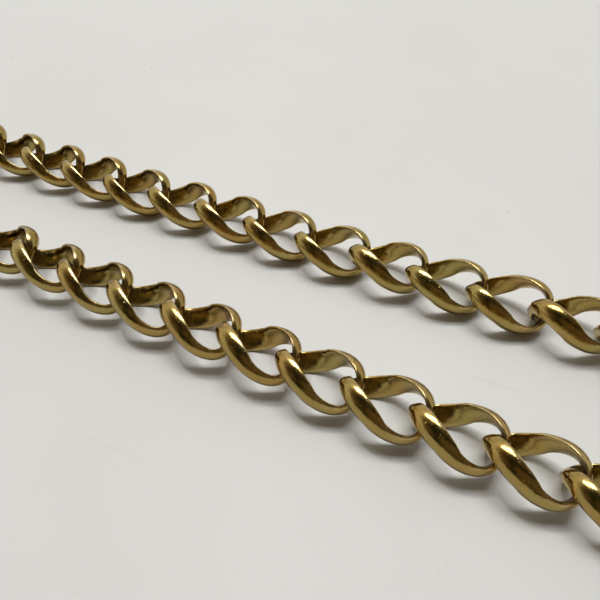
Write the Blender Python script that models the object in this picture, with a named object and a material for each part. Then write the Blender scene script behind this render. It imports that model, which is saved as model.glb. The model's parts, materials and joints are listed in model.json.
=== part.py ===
"""Double Albert pocket watch chain: T-bar group, two arms of tapered curb links, two swivel clips.

Metres, +Z up. The chain lies at rest on the plane z = 0, T-bar at -X, the clips at +X.
Dimensions below are in millimetres and are scaled by MM where meshes are made.
"""
import math

import bmesh
import bpy
import numpy as np
from mathutils import Matrix, Vector

MM = 0.001

# ---- driving dimensions, mm ------------------------------------------------------------
PITCH = 10.0               # from one link to the next
LINKS_PER_ARM = 18
LINK_HALF_LENGTH = 6.2     # wire centre line, along the link
LINK_HALF_WIDTH = 4.3      # wire centre line, across the link
LINK_SQUARENESS = 2.69     # superellipse power of the wire's centre line
LINK_TWIST = 0.8645        # how far each end bow is turned out of the link's plane, rad
LINK_TWIST_POWER = 0.8
WIRE_WIDE = 3.4            # band width of the wire at the lobes
WIRE_NARROW = 1.7          # band width of the wire at the end bows
WIRE_THICK = 1.1
TAPER_POWER = 0.8
LINK_STATIONS = 20
BAND = [(-0.5, 0.0), (-0.22, 0.76), (0.22, 0.76), (0.5, 0.0), (0.3, -0.2), (-0.3, -0.2)]
BAND_MIDDLE = 0.37         # where the centre line runs in the band's thickness

FIRST_STRAIGHT_LINK = 4    # links before this one turn in towards the centre ring
FAN_ANGLES = {1: 30.0, 2: 14.0, 3: 3.0}     # heading of the turned-in links, degrees
FAN_LEANS = {1: -16.0, 2: -9.0, 3: -3.0}    # their lean, which stands the first bow up
ARM_SPREAD = math.atan(0.0218)              # the two arms part slowly towards the clips
ARM_MIDLINE_X = -17.4
ARM_HALF_GAP = 12.74       # half the distance between the arms at ARM_MIDLINE_X

CENTER_RING_RADIUS = 5.5
CENTER_RING_WIRE = 0.7
CENTER_RING_INSET = 4.1    # how far behind a first link's middle the ring's wire passes
BAR_RING_RADIUS = 2.6
BAR_LOOP_RADIUS = 1.9
BAR_WIRE = 0.55
BAR_HALF_LENGTH = 16.0
BAR_BOSS_RADIUS = 1.7
BAR_END_RADIUS = 1.15
BAR_TIP_RADIUS = 1.6
BAR_SIDES = 12
BAR_REACH = 6.15           # from the loop's far wire to the middle of the bar

JUMP_RING_RADIUS = 2.6
EYE_RADIUS = 2.4
CLIP_WIRE = 0.6
JUMP_RING_X = 7.3          # centre of the jump ring ahead of the last link's middle
EYE_AHEAD = 0.8            # centre of the eye ahead of the jump ring's far wire
STEM_RADIUS = 0.65
STEM_BORE = 0.95
HOOK_HALF_THICK = 1.5
HOOK_X = 4.4               # face of the hook's neck ahead of the eye's pivot
BEND_X = 13.2              # centre of the hook's bend ahead of the neck face
BEND_INNER = 3.0
BEND_OUTER = 5.2
CLIP_LENGTH = HOOK_X + BEND_X + BEND_OUTER
SEAT_HALF_ANGLE = 12.0     # flat on the inside of the bend where a watch bow bears, degrees
GATE_PIVOT = (6.6, -4.35)
KNUCKLE_RADIUS = 1.4
PIN_RADIUS = 0.45
PIN_BORE = 0.5
KNUCKLE_BORE = 0.75
GATE_HALF_THICK = 0.85
SLOT_HALF = 1.15

# how the links of each arm have come to lie: (mean, (size, step, start), ...) by link number
LIE = {
    "front": {"yaw": -0.068, "pitch": -0.026,
              "roll": (-0.24, (0.068, -0.589, 4.483), (0.070, 1.653, -20.652))},
    "rear": {"yaw": 0.036, "pitch": -0.003,
             "roll": (-0.047, (0.139, 1.937, -20.011), (0.089, 2.149, -18.493))},
}


# ---- materials -------------------------------------------------------------------------
def metal(name, colour, roughness):
    material = bpy.data.materials.new(name)
    material.use_nodes = True
    shader = material.node_tree.nodes["Principled BSDF"]
    shader.inputs["Base Color"].default_value = (*colour, 1.0)
    shader.inputs["Roughness"].default_value = roughness
    shader.inputs["Metallic"].default_value = 1.0
    material.diffuse_color = (*colour, 1.0)
    return material


# ---- mesh helpers ----------------------------------------------------------------------
def add_object(name, vertices, faces, material, matrix=None, smooth=True):
    mesh = bpy.data.meshes.new(name)
    mesh.from_pydata([tuple(float(c) * MM for c in v) for v in vertices], [], faces)
    mesh.validate()
    edit = bmesh.new()
    edit.from_mesh(mesh)
    bmesh.ops.recalc_face_normals(edit, faces=edit.faces)
    edit.to_mesh(mesh)
    edit.free()
    for polygon in mesh.polygons:
        polygon.use_smooth = smooth
    mesh.materials.append(material)
    obj = bpy.data.objects.new(name, mesh)
    bpy.context.scene.collection.objects.link(obj)
    if matrix is not None:
        obj.matrix_world = matrix
    return obj


def loop_faces(rings, sides, closed):
    faces = []
    last = rings if closed else rings - 1
    for i in range(last):
        a = i * sides
        b = ((i + 1) % rings) * sides
        for j in range(sides):
            k = (j + 1) % sides
            faces.append((a + j, a + k, b + k, b + j))
    if not closed:
        faces.append(tuple(range(sides)))
        faces.append(tuple(range((rings - 1) * sides, rings * sides))[::-1])
    return faces


def torus(radius, wire, stations=28, sides=8):
    """Ring in the local XY plane."""
    vertices = []
    for i in range(stations):
        u = 2 * math.pi * i / stations
        for j in range(sides):
            v = 2 * math.pi * j / sides
            r = radius + wire * math.cos(v)
            vertices.append((r * math.cos(u), r * math.sin(u), wire * math.sin(v)))
    return vertices, loop_faces(stations, sides, True)


def lathe(profile, sides, turn=0.0):
    """Solid of revolution about local X from (x, radius) pairs."""
    vertices = []
    for x, radius in profile:
        for j in range(sides):
            v = 2 * math.pi * (j + turn) / sides
            vertices.append((x, radius * math.cos(v), radius * math.sin(v)))
    return vertices, loop_faces(len(profile), sides, False)


def slab(outline, low, high):
    """Flat plate with the given XY outline between two heights."""
    count = len(outline)
    vertices = [(x, y, low) for x, y in outline] + [(x, y, high) for x, y in outline]
    faces = [tuple(range(count))[::-1], tuple(range(count, 2 * count))]
    for j in range(count):
        k = (j + 1) % count
        faces.append((j, k, count + k, count + j))
    return vertices, faces


def arc(cx, cy, radius, first, last, steps):
    points = []
    for i in range(steps + 1):
        angle = math.radians(first + (last - first) * i / steps)
        points.append((cx + radius * math.cos(angle), cy + radius * math.sin(angle)))
    return points


def combine(obj, tool, operation):
    """Cut the tool from the object or weld the two, then drop the tool."""
    modifier = obj.modifiers.new("cut", "BOOLEAN")
    modifier.operation = operation
    modifier.solver = "EXACT"
    modifier.object = tool
    bpy.context.view_layer.update()
    graph = bpy.context.evaluated_depsgraph_get()
    mesh = bpy.data.meshes.new_from_object(obj.evaluated_get(graph))
    obj.modifiers.remove(modifier)
    old = obj.data
    mesh.name = old.name
    obj.data = mesh
    bpy.data.meshes.remove(old)
    tool_mesh = tool.data
    bpy.data.objects.remove(tool)
    bpy.data.meshes.remove(tool_mesh)


def shade_by_angle(obj, degrees):
    limit = math.radians(degrees)
    edit = bmesh.new()
    edit.from_mesh(obj.data)
    for edge in edit.edges:
        edge.smooth = len(edge.link_faces) == 2 and edge.calc_face_angle() < limit
    for face in edit.faces:
        face.smooth = True
    edit.to_mesh(obj.data)
    edit.free()


# ---- the curb link ---------------------------------------------------------------------
def link_frame(t):
    """Point on the wire's centre line and its tangent-free frame, as numpy rows."""
    power = 2.0 / LINK_SQUARENESS
    c = np.cos(t)
    s = np.sin(t)
    x = LINK_HALF_LENGTH * np.sign(c) * np.abs(c) ** power
    y = LINK_HALF_WIDTH * np.sign(s) * np.abs(s) ** power
    return x, y


def link_mesh(stations, band, origin_x):
    """One link: an oval of tapered half-round band, its ends twisted about the long axis."""
    fine = 4000
    x, y = link_frame(np.arange(fine + 1) * 2 * math.pi / fine)
    run = np.concatenate([[0.0], np.cumsum(np.hypot(np.diff(x), np.diff(y)))])
    want = np.arange(stations) * run[-1] / stations
    x = np.interp(want, run, x)
    y = np.interp(want, run, y)
    dx = np.roll(x, -1) - np.roll(x, 1)
    dy = np.roll(y, -1) - np.roll(y, 1)
    length = np.hypot(dx, dy)
    nx = dy / length
    ny = -dx / length
    share = x / LINK_HALF_LENGTH
    phi = LINK_TWIST * np.sign(share) * np.abs(share) ** LINK_TWIST_POWER
    path = np.stack([x, y * np.cos(phi), y * np.sin(phi)], 1)
    along = np.roll(path, -1, 0) - np.roll(path, 1, 0)
    along /= np.linalg.norm(along, axis=1)[:, None]
    out = np.stack([nx, ny * np.cos(phi), ny * np.sin(phi)], 1)
    out -= along * (out * along).sum(1)[:, None]
    out /= np.linalg.norm(out, axis=1)[:, None]
    across = np.cross(along, out)
    swell = (np.abs(y) / LINK_HALF_WIDTH) ** TAPER_POWER
    width = WIRE_NARROW + (WIRE_WIDE - WIRE_NARROW) * swell
    vertices = []
    for i in range(stations):
        for u, v in band:
            point = path[i] + out[i] * (v - BAND_MIDDLE) * WIRE_THICK + across[i] * u * width[i]
            vertices.append((point[0] - origin_x, point[1], point[2]))
    return vertices, loop_faces(stations, len(band), True)


def sway(number, terms):
    mean, waves = terms[0], terms[1:]
    return mean + sum(size * math.sin(step * number + start) for size, step, start in waves)


def turned(yaw, pitch, roll):
    return (Matrix.Rotation(yaw, 4, "Z") @ Matrix.Rotation(pitch, 4, "Y")
            @ Matrix.Rotation(roll, 4, "X"))


def arm_places(arm):
    """Rotation and centre of every link of one arm, set down on z = 0."""
    side = -1.0 if arm == "front" else 1.0
    lie = LIE[arm]
    anchor_number, anchor_x = (14, -7.93) if arm == "front" else (12, -26.88)
    places = {}
    x = anchor_x + (FIRST_STRAIGHT_LINK - anchor_number) * PITCH * math.cos(ARM_SPREAD)
    y = side * (ARM_HALF_GAP + math.tan(ARM_SPREAD) * (x - ARM_MIDLINE_X))
    headings = {}
    for number in range(1, LINKS_PER_ARM + 1):
        fan = math.radians(FAN_ANGLES[number]) if number in FAN_ANGLES else ARM_SPREAD
        headings[number] = side * fan
    flat = {FIRST_STRAIGHT_LINK: (x, y)}
    for number in range(FIRST_STRAIGHT_LINK - 1, 0, -1):
        px, py = flat[number + 1]
        a, b = headings[number + 1], headings[number]
        flat[number] = (px - PITCH / 2 * (math.cos(a) + math.cos(b)),
                        py - PITCH / 2 * (math.sin(a) + math.sin(b)))
    for number in range(FIRST_STRAIGHT_LINK + 1, LINKS_PER_ARM + 1):
        px, py = flat[number - 1]
        a = headings[number]
        flat[number] = (px + PITCH * math.cos(a), py + PITCH * math.sin(a))
    outline = [Vector(v) for v in link_mesh(LINK_STATIONS, BAND, 0.0)[0]]
    for number in range(1, LINKS_PER_ARM + 1):
        settled = min(1.0, number / FIRST_STRAIGHT_LINK)
        lean = math.radians(FAN_LEANS.get(number, 0.0))
        roll = lean + settled * sway(number, lie["roll"])
        turn = turned(headings[number] + lie["yaw"] * settled, lie["pitch"] * settled, roll)
        lowest = min((turn @ v).z for v in outline)
        px, py = flat[number]
        places[number] = Matrix.Translation((px, py, -lowest)) @ turn
    return places, headings


def scaled(matrix):
    """A placement in millimetres turned into metres."""
    result = matrix.copy()
    result.translation = matrix.translation * MM
    return result


# ---- build -----------------------------------------------------------------------------
for old_object in list(bpy.data.objects):
    bpy.data.objects.remove(old_object)

LINK_BRASS = metal("link_brass", (0.62, 0.46, 0.17), 0.2)
RING_BRASS = metal("ring_brass", (0.66, 0.48, 0.18), 0.24)
BAR_BRASS = metal("bar_brass", (0.60, 0.43, 0.15), 0.22)
HOOK_BRASS = metal("hook_brass", (0.64, 0.47, 0.18), 0.26)
EYE_BRASS = metal("eye_brass", (0.58, 0.42, 0.16), 0.28)
GATE_BRASS = metal("gate_brass", (0.68, 0.51, 0.21), 0.22)
PIN_STEEL = metal("pin_steel", (0.45, 0.44, 0.42), 0.35)
SPRING_STEEL = metal("spring_steel", (0.36, 0.37, 0.39), 0.3)

arms = {arm: arm_places(arm) for arm in ("front", "rear")}

# the arms' first bows decide where the centre ring can lie
first_points = []
for arm, (places, headings) in arms.items():
    place = places[1]
    first_points.append(place @ Vector((-CENTER_RING_INSET, 0.0, 0.0)))
middle = (first_points[0] + first_points[1]) / 2
chord = first_points[1] - first_points[0]
half_chord = math.hypot(chord.x, chord.y) / 2
inward = Vector((-chord.y, chord.x, 0.0)).normalized()
ring = middle + inward * math.sqrt(CENTER_RING_RADIUS ** 2 - half_chord ** 2)
ring_x, ring_y, ring_z = ring

BAR_RING_X = ring_x - 6.3
BAR_RING_Z = BAR_RING_RADIUS + BAR_WIRE
bar_rest_z = BAR_BOSS_RADIUS * math.cos(math.pi / BAR_SIDES)
loop_right = Vector((BAR_RING_X - 1.1, ring_y, 3.0))
BAR_SLOPE = math.asin((loop_right.z - bar_rest_z) / BAR_REACH)
down_left = Vector((-math.cos(BAR_SLOPE), 0.0, -math.sin(BAR_SLOPE)))
bar_centre = loop_right + down_left * BAR_REACH

# the centre ring
vertices, faces = torus(CENTER_RING_RADIUS, CENTER_RING_WIRE, 32, 8)
add_object("center_ring", vertices, faces, RING_BRASS,
           scaled(Matrix.Translation((ring_x, ring_y, ring_z))))

# the T-bar group: a small upright ring, the bar's own loop, the bar
upright = Matrix.Rotation(math.pi / 2, 4, "X")
pivot = Vector((ring_x - CENTER_RING_RADIUS, ring_y, ring_z))
vertices, faces = torus(BAR_RING_RADIUS, BAR_WIRE, 20, 8)
offset = Vector((BAR_RING_X, ring_y, BAR_RING_Z)) - pivot
vertices = [upright @ Vector(v) + offset for v in vertices]
add_object("t_bar_ring", vertices, faces, RING_BRASS, scaled(Matrix.Translation(pivot)))

swing = Vector((BAR_RING_X - BAR_RING_RADIUS, ring_y, BAR_RING_Z))
slope = Matrix.Rotation(-BAR_SLOPE, 4, "Y")
loop_centre = loop_right + down_left * BAR_LOOP_RADIUS
vertices, faces = torus(BAR_LOOP_RADIUS, BAR_WIRE, 20, 8)
vertices = [slope @ Vector(v) + loop_centre - swing for v in vertices]
add_object("t_bar_loop", vertices, faces, BAR_BRASS, scaled(Matrix.Translation(swing)))

half = BAR_HALF_LENGTH
quarter = [(-half, 0.5), (-half + 0.35, 1.15), (-half + 1.1, BAR_TIP_RADIUS),
           (-half + 1.9, BAR_TIP_RADIUS), (-half + 2.7, BAR_END_RADIUS), (-7.2, 1.35),
           (-4.8, 1.35), (-2.6, BAR_BOSS_RADIUS)]
profile = quarter + [(-x, r) for x, r in reversed(quarter)]
vertices, faces = lathe(profile, BAR_SIDES, 0.5)
along_y = Matrix.Rotation(math.pi / 2, 4, "Z")
vertices = [along_y @ Vector(v) + bar_centre - swing for v in vertices]
add_object("t_bar_rod", vertices, faces, BAR_BRASS, scaled(Matrix.Translation(swing)))

# the two arms of links: the first turns on the ring's wire, odd ones on their own near bow,
# even ones on the bow of the link before
for arm, (places, headings) in arms.items():
    for number, spot in places.items():
        if number == 1:
            origin_x = -CENTER_RING_INSET
        elif number % 2 == 1:
            origin_x = -LINK_HALF_LENGTH
        else:
            origin_x = LINK_HALF_LENGTH - PITCH
        vertices, faces = link_mesh(LINK_STATIONS, BAND, origin_x)
        add_object(f"{arm}_link_{number:02d}", vertices, faces, LINK_BRASS,
                   scaled(spot @ Matrix.Translation((origin_x, 0.0, 0.0))))

# the swivel clips
hook_outline = [(0.0, -2.0), (1.2, -2.0), (2.6, -3.2), (4.2, -4.9), (5.5, -5.75), (7.2, -5.75),
                (8.2, -5.0), (8.3, -3.6), (7.6, -3.0), (6.0, -3.0), (5.0, -2.4), (4.6, -1.4),
                (4.6, 1.4), (5.0, 2.4), (6.0, BEND_INNER)]
hook_outline += arc(BEND_X, 0.0, BEND_INNER, 90.0, SEAT_HALF_ANGLE, 6)
hook_outline += arc(BEND_X, 0.0, BEND_INNER, -SEAT_HALF_ANGLE, -50.0, 3)
hook_outline += arc(BEND_X, 0.0, BEND_OUTER, -90.0, 90.0, 14)
hook_outline += [(6.0, BEND_OUTER), (4.2, 4.6), (2.6, 3.2), (1.2, 2.0), (0.0, 2.0)]
gx, gy = GATE_PIVOT
gate_outline = arc(0.0, 0.0, KNUCKLE_RADIUS, 48.0, 216.0, 8)
gate_outline += [(-0.6, -1.3), (1.6, -0.85), (2.0, -1.55), (3.2, -1.55), (3.6, -0.85)]
gate_outline += [(BEND_X - 0.42 - gx, -0.85), (14.04 - gx, 1.05)]

for arm, (places, headings) in arms.items():
    last = places[LINKS_PER_ARM]
    run = Matrix.Rotation(headings[LINKS_PER_ARM], 4, "Z")
    bow = Vector((LINK_HALF_LENGTH, 0.0, 0.0))

    # jump ring: square to the last link's end bow, its origin on that bow
    ring_lean = Matrix.Rotation(math.pi / 2 + LINK_TWIST, 4, "X")
    vertices, faces = torus(JUMP_RING_RADIUS, CLIP_WIRE, 20, 8)
    offset = Vector((JUMP_RING_X, 0.0, 0.0)) - bow
    vertices = [ring_lean @ Vector(v) + offset for v in vertices]
    add_object(f"{arm}_jump_ring", vertices, faces, RING_BRASS,
               scaled(last @ Matrix.Translation(bow)))

    # the clip's own frame: origin on the jump ring's far wire, X towards the hook
    pivot_x = JUMP_RING_X + JUMP_RING_RADIUS
    joined = last @ Vector((pivot_x, 0.0, 0.0))
    tilt = math.asin((joined.z - HOOK_HALF_THICK) / CLIP_LENGTH)
    clip = Matrix.Translation(joined) @ run @ Matrix.Rotation(tilt, 4, "Y")

    # eye: ring, collar, stem and riveted head in one piece
    eye_centre = EYE_AHEAD
    eye_lean = Matrix.Rotation(LINK_TWIST, 4, "X")
    vertices, faces = torus(EYE_RADIUS, CLIP_WIRE, 20, 8)
    vertices = [eye_lean @ Vector(v) + Vector((eye_centre, 0.0, 0.0)) for v in vertices]
    eye = add_object(f"{arm}_swivel_eye", vertices, faces, EYE_BRASS, scaled(clip))
    start = eye_centre + EYE_RADIUS
    vertices, faces = lathe([(start - 0.1, 0.5), (HOOK_X - 0.75, 1.0), (HOOK_X - 0.3, 1.3),
                             (HOOK_X - 0.3, STEM_RADIUS), (HOOK_X + 4.9, STEM_RADIUS),
                             (HOOK_X + 4.9, 1.35), (HOOK_X + 5.6, 1.3), (HOOK_X + 6.0, 0.8)], 12)
    stem = add_object(f"{arm}_stem", vertices, faces, EYE_BRASS, scaled(clip))
    combine(eye, stem, "UNION")
    shade_by_angle(eye, 40)

    # hook: one flat casting, drilled for the stem and slotted for the gate
    neck = clip @ Matrix.Translation((HOOK_X, 0.0, 0.0))
    vertices, faces = slab(hook_outline, -HOOK_HALF_THICK, HOOK_HALF_THICK)
    hook = add_object(f"{arm}_hook_body", vertices, faces, HOOK_BRASS, scaled(neck))
    vertices, faces = slab([(5.0, -7.0), (9.0, -7.0), (9.0, -2.5), (5.0, -2.5)],
                           -SLOT_HALF, SLOT_HALF)
    combine(hook, add_object("slot", vertices, faces, HOOK_BRASS, scaled(neck)), "DIFFERENCE")
    vertices, faces = lathe([(-1.0, STEM_BORE), (5.5, STEM_BORE)], 16)
    combine(hook, add_object("bore", vertices, faces, HOOK_BRASS, scaled(neck)), "DIFFERENCE")
    across = Matrix.Rotation(-math.pi / 2, 4, "Y")
    vertices, faces = lathe([(-3.0, PIN_BORE), (3.0, PIN_BORE)], 12)
    vertices = [across @ Vector(v) + Vector((gx, gy, 0.0)) for v in vertices]
    combine(hook, add_object("pin_bore", vertices, faces, HOOK_BRASS, scaled(neck)), "DIFFERENCE")
    shade_by_angle(hook, 30)

    # gate: knuckle, arm and thumb nub in one plate, turning on the pin
    hinge = neck @ Matrix.Translation((gx, gy, 0.0))
    vertices, faces = slab(gate_outline, -GATE_HALF_THICK, GATE_HALF_THICK)
    gate = add_object(f"{arm}_gate", vertices, faces, GATE_BRASS, scaled(hinge))
    vertices, faces = lathe([(-2.0, KNUCKLE_BORE), (2.0, KNUCKLE_BORE)], 12)
    vertices = [across @ Vector(v) for v in vertices]
    combine(gate, add_object("bore", vertices, faces, GATE_BRASS, scaled(hinge)), "DIFFERENCE")
    vertices, faces = slab([(-1.7, -1.7), (1.3, -1.7), (1.3, 1.7), (-1.7, 1.7)], 0.2, 1.2)
    combine(gate, add_object("relief", vertices, faces, GATE_BRASS, scaled(hinge)), "DIFFERENCE")
    shade_by_angle(gate, 30)

    # pin and the small return spring round it
    vertices, faces = lathe([(-1.6, 0.3), (-1.5, PIN_RADIUS), (1.5, PIN_RADIUS), (1.6, 0.3)], 12)
    vertices = [across @ Vector(v) for v in vertices]
    add_object(f"{arm}_gate_pin", vertices, faces, PIN_STEEL, scaled(hinge))
    coil = []
    turns = 1.6
    stations = 30
    for i in range(stations):
        share = i / (stations - 1)
        angle = math.pi * 0.6 + 2 * math.pi * turns * share
        radial = Vector((math.cos(angle), math.sin(angle), 0.0))
        height = 0.45 + 0.35 * share
        for j in range(6):
            v = 2 * math.pi * j / 6
            coil.append(radial * (0.75 + 0.1 * math.cos(v)) + Vector((0, 0, height + 0.1 * math.sin(v))))
    add_object(f"{arm}_gate_spring", coil, loop_faces(stations, 6, False), SPRING_STEEL,
               scaled(hinge))

# stand the whole chain over the origin: the middle of its box in plan, its lowest point at z = 0
bpy.context.view_layer.update()
corners = [obj.matrix_world @ vertex.co for obj in bpy.data.objects for vertex in obj.data.vertices]
low = [min(corner[i] for corner in corners) for i in range(3)]
high = [max(corner[i] for corner in corners) for i in range(3)]
shift = Vector((-(low[0] + high[0]) / 2, -(low[1] + high[1]) / 2, -low[2]))
for obj in bpy.data.objects:
    obj.location += shift
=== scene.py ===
import json
import math

import bmesh
import bpy
from mathutils import Euler, Matrix, Vector


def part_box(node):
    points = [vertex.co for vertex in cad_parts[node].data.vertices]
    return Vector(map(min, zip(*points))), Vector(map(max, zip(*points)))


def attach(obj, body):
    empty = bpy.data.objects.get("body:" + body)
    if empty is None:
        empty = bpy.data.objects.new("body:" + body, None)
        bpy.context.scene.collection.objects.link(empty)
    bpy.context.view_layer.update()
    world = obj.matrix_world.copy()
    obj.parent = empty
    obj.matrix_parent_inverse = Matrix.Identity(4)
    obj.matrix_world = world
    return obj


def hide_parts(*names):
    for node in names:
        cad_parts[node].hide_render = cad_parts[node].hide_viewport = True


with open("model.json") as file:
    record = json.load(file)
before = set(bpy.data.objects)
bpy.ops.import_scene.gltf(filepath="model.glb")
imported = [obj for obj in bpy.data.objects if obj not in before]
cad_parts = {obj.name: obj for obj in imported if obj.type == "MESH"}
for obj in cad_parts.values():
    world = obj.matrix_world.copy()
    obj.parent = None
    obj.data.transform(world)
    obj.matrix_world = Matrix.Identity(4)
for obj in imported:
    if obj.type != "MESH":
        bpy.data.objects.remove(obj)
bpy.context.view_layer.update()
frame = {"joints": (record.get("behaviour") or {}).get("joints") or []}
joints = {joint["name"]: joint for joint in frame["joints"]}
MM = 0.001


# ---- brass -----------------------------------------------------------------------------
# Rolled brass, polished by wear. Its tone drifts from greenish gold to a redder gold, the
# edges are lighter, partly worn and partly a painted highlight, the nooks are darker, partly
# brown tarnish and partly painted shade, and the polish is crossed by hairline scratches.

def add_node(tree, kind, **settings):
    node = tree.nodes.new(kind)
    for name, value in settings.items():
        setattr(node, name, value)
    return node


def feed(tree, socket, value):
    """Link a socket to an input, or set the input's own value."""
    if isinstance(value, bpy.types.NodeSocket):
        tree.links.new(value, socket)
    elif value is not None:
        socket.default_value = value


def math_node(tree, operation, a, b=None, c=None, clamp=False):
    node = add_node(tree, "ShaderNodeMath", operation=operation, use_clamp=clamp)
    for socket, value in zip(node.inputs, (a, b, c)):
        feed(tree, socket, value)
    return node.outputs[0]


def vector_node(tree, operation, a, b=None, scale=None):
    """Vector maths; the node's fourth input is its scale."""
    node = add_node(tree, "ShaderNodeVectorMath", operation=operation)
    feed(tree, node.inputs[0], a)
    feed(tree, node.inputs[1], b)
    feed(tree, node.inputs[3], scale)
    return node.outputs["Value" if operation in ("DOT_PRODUCT", "LENGTH") else "Vector"]


def noise(tree, vector, scale, detail=3.0, roughness=0.55, distortion=0.0):
    node = add_node(tree, "ShaderNodeTexNoise")
    feed(tree, node.inputs["Vector"], vector)
    node.inputs["Scale"].default_value = scale
    node.inputs["Detail"].default_value = detail
    node.inputs["Roughness"].default_value = roughness
    node.inputs["Distortion"].default_value = distortion
    return node.outputs["Fac"]


def ramp(tree, value, low, high, to_low=0.0, to_high=1.0):
    """Smooth step from to_low to to_high as the value goes from low to high."""
    node = add_node(tree, "ShaderNodeMapRange", interpolation_type="SMOOTHSTEP")
    feed(tree, node.inputs[0], value)
    for socket, number in zip(node.inputs[1:5], (low, high, to_low, to_high)):
        socket.default_value = number
    return node.outputs[0]


def mix_colour(tree, factor, a, b):
    """Mix two colours, through the Mix node's colour sockets."""
    node = add_node(tree, "ShaderNodeMix", data_type="RGBA")
    feed(tree, node.inputs[0], factor)
    for socket, value in ((node.inputs[6], a), (node.inputs[7], b)):
        feed(tree, socket, (*value, 1.0) if isinstance(value, tuple) else value)
    return node.outputs[2]


def new_group(name, inputs, outputs):
    group = bpy.data.node_groups.new(name, "ShaderNodeTree")
    for label, kind, value in inputs:
        socket = group.interface.new_socket(label, in_out="INPUT", socket_type=kind)
        if value is not None:
            socket.default_value = value
    for label, kind in outputs:
        group.interface.new_socket(label, in_out="OUTPUT", socket_type=kind)
    start = group.nodes.new("NodeGroupInput")
    end = group.nodes.new("NodeGroupOutput")
    return group, start.outputs, end.inputs


def attribute(tree, name):
    return add_node(tree, "ShaderNodeAttribute", attribute_name=name).outputs["Fac"]


GOLD_WARM = (0.40, 0.26, 0.075)
# lighter rim colour: worn brass, and also a painted highlight along the edges
RUBBED_AND_SHEEN = (0.90, 0.72, 0.38)
# tarnish colour, also used as painted shade in the nooks where links bear on each other
TARNISH_AND_SHADE = (0.07, 0.038, 0.013)
COPPER_DARK = (0.16, 0.05, 0.03)
COPPER_BRIGHT = (0.62, 0.30, 0.12)

# besides wear, this group paints a highlight on edges and shade in nooks, through its Edge and Nook
# masks
wear, wear_in, wear_out = new_group(
    "metal_wear",
    [("Metal", "NodeSocketColor", (0.7, 0.5, 0.2, 1.0)),
     ("Warm", "NodeSocketColor", (0.7, 0.4, 0.15, 1.0)),
     ("Tarnish", "NodeSocketColor", (0.05, 0.03, 0.01, 1.0)),
     ("Polish", "NodeSocketFloat", 0.1),
     ("Nook", "NodeSocketFloat", 0.0),
     ("Edge", "NodeSocketFloat", 0.0)],
    [("Colour", "NodeSocketColor"), ("Roughness", "NodeSocketFloat"),
     ("Height", "NodeSocketFloat")])
place = add_node(wear, "ShaderNodeTexCoord").outputs["Object"]
drift = noise(wear, place, scale=120.0, detail=2.0)
mottle = noise(wear, place, scale=900.0, detail=4.0, roughness=0.6)
specks = noise(wear, place, scale=2600.0, detail=2.0, roughness=0.7)
stretched = vector_node(wear, "MULTIPLY", place, (260.0, 2600.0, 1500.0))
streaks = noise(wear, stretched, scale=1.0, detail=3.0, roughness=0.65)
crossing = vector_node(wear, "MULTIPLY", place, (2400.0, 320.0, 900.0))
hairs = noise(wear, crossing, scale=1.0, detail=2.0, roughness=0.7, distortion=0.4)
tone = mix_colour(wear, ramp(wear, drift, 0.35, 0.65), wear_in["Metal"], wear_in["Warm"])
tone = mix_colour(wear, ramp(wear, mottle, 0.4, 0.75, 0.0, 0.35), tone, wear_in["Warm"])
# edges lighter: partly wear, partly a painted highlight for the light the rims catch
rubbed_and_sheen = math_node(wear, "MULTIPLY", wear_in["Edge"], ramp(wear, mottle, 0.3, 0.6))
tone = mix_colour(wear, math_node(wear, "MULTIPLY", rubbed_and_sheen, 0.6), tone, RUBBED_AND_SHEEN)
# nooks darker: partly tarnish, partly painted shade where neighbouring links touch
nook_tarnish_and_shade = math_node(wear, "MULTIPLY", wear_in["Nook"], ramp(wear, mottle, 0.25, 0.6, 0.45, 1.0))
pits = ramp(wear, specks, 0.66, 0.76)
# darkening: real pits, plus the nooks' tarnish and painted shade
dirt_and_shade = math_node(wear, "MAXIMUM", nook_tarnish_and_shade, math_node(wear, "MULTIPLY", pits, 0.35), clamp=True)
feed(wear, wear_out["Colour"], mix_colour(wear, dirt_and_shade, tone, wear_in["Tarnish"]))
dull = math_node(wear, "MULTIPLY_ADD", ramp(wear, streaks, 0.35, 0.75), 0.05, wear_in["Polish"])
dull = math_node(wear, "MULTIPLY_ADD", ramp(wear, mottle, 0.4, 0.8), 0.05, dull)
dull = math_node(wear, "MULTIPLY_ADD", dirt_and_shade, 0.35, dull, clamp=True)
feed(wear, wear_out["Roughness"], dull)
relief = math_node(wear, "MULTIPLY_ADD", streaks, 0.22, math_node(wear, "MULTIPLY", hairs, 0.2))
relief = math_node(wear, "MULTIPLY_ADD", mottle, 1.1, relief)
relief = math_node(wear, "MULTIPLY_ADD", specks, 0.3, relief)
relief = math_node(wear, "MULTIPLY_ADD", pits, -0.8, relief)
feed(wear, wear_out["Height"], relief)


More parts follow.
